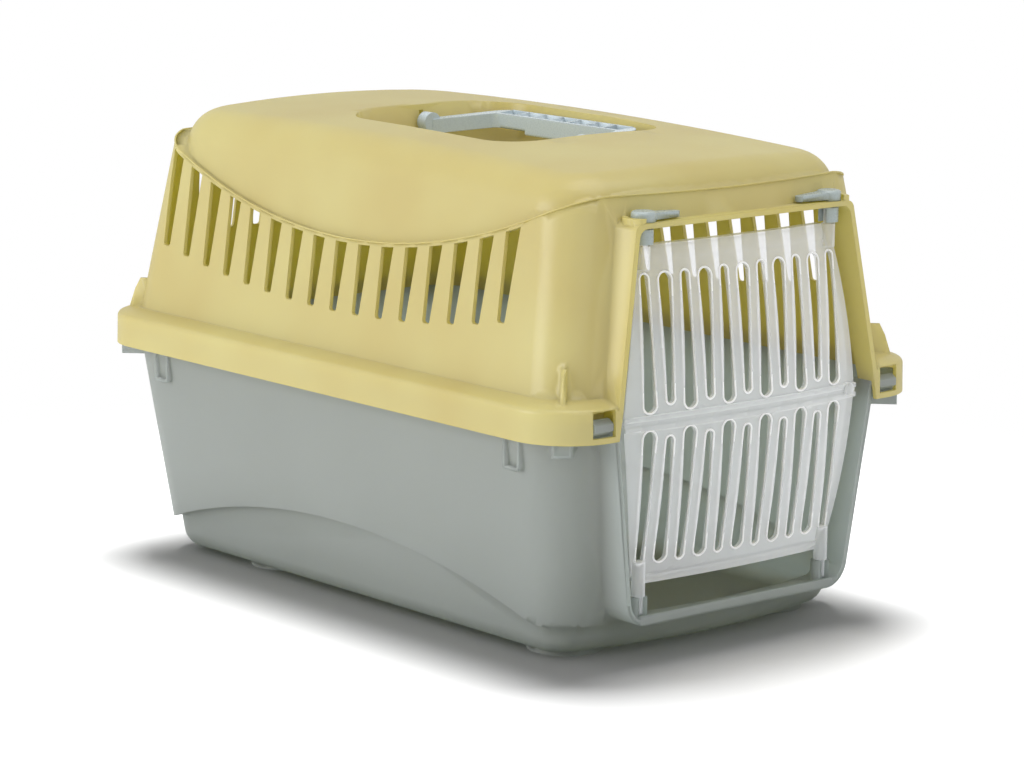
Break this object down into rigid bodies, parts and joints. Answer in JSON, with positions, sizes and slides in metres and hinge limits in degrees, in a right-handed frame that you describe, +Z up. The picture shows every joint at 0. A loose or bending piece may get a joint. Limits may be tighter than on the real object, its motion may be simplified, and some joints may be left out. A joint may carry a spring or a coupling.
{
  "type": "pet carrier",
  "caption": "Two-shell plastic pet carrier with a slotted bulged swing door, turning latch levers, fold-down carrying handle and snap tongues.",
  "frame": {"origin": "centre of the overall box, on the floor plane under the feet", "axes": "+Z up, +Y along the carrier from the door to the closed back, +X to the right as seen from in front of the door"},
  "size_m": [0.299, 0.46, 0.2945],
  "materials": {
    "yellow_plastic": "satin",
    "grey_plastic": "satin",
    "light_grey_plastic": "satin",
    "clear_plastic": "translucent"
  },
  "bodies": {
    "shells": {"upper_shell": "yellow_plastic", "lower_shell": "grey_plastic"},
    "door": {"door": "clear_plastic"},
    "handle": {"carry_handle": "light_grey_plastic"},
    "lever_left": {"latch_lever_left": "light_grey_plastic"},
    "lever_right": {"latch_lever_right": "light_grey_plastic"},
    "tongue_front_left": {"snap_tongue_front_left": "grey_plastic"},
    "tongue_front_right": {"snap_tongue_front_right": "grey_plastic"},
    "tongue_back_left": {"snap_tongue_back_left": "grey_plastic"},
    "tongue_back_right": {"snap_tongue_back_right": "grey_plastic"}
  },
  "joints": [
    {"name": "door_hinge", "type": "hinge", "parent": "shells", "child": "door", "pos_m": [0.0745, -0.2148, 0.145], "axis": [0, 0, 1], "range_deg": [0, 115]},
    {"name": "handle_fold", "type": "hinge", "parent": "shells", "child": "handle", "pos_m": [0, -0.005, 0.284], "axis": [0, -1, 0], "range_deg": [0, 180]},
    {"name": "lever_left_turn", "type": "hinge", "parent": "shells", "child": "lever_left", "pos_m": [-0.0745, -0.2148, 0.262], "axis": [0, 0, 1], "range_deg": [-90, 0]},
    {"name": "lever_right_turn", "type": "hinge", "parent": "shells", "child": "lever_right", "pos_m": [0.0745, -0.2148, 0.262], "axis": [0, 0, 1], "range_deg": [0, 90]},
    {"name": "tongue_front_left_flex", "type": "hinge", "parent": "shells", "child": "tongue_front_left", "pos_m": [-0.1149, -0.2242, 0.14155], "axis": [-1, 0, 0], "range_deg": [0, 15], "stiffness_Nm_per_rad": 0.2},
    {"name": "tongue_front_right_flex", "type": "hinge", "parent": "shells", "child": "tongue_front_right", "pos_m": [0.1149, -0.2242, 0.14155], "axis": [-1, 0, 0], "range_deg": [0, 15], "stiffness_Nm_per_rad": 0.2},
    {"name": "tongue_back_left_flex", "type": "hinge", "parent": "shells", "child": "tongue_back_left", "pos_m": [-0.1149, 0.2242, 0.14155], "axis": [1, 0, 0], "range_deg": [0, 15], "stiffness_Nm_per_rad": 0.2},
    {"name": "tongue_back_right_flex", "type": "hinge", "parent": "shells", "child": "tongue_back_right", "pos_m": [0.1149, 0.2242, 0.14155], "axis": [1, 0, 0], "range_deg": [0, 15], "stiffness_Nm_per_rad": 0.2}
  ]
}
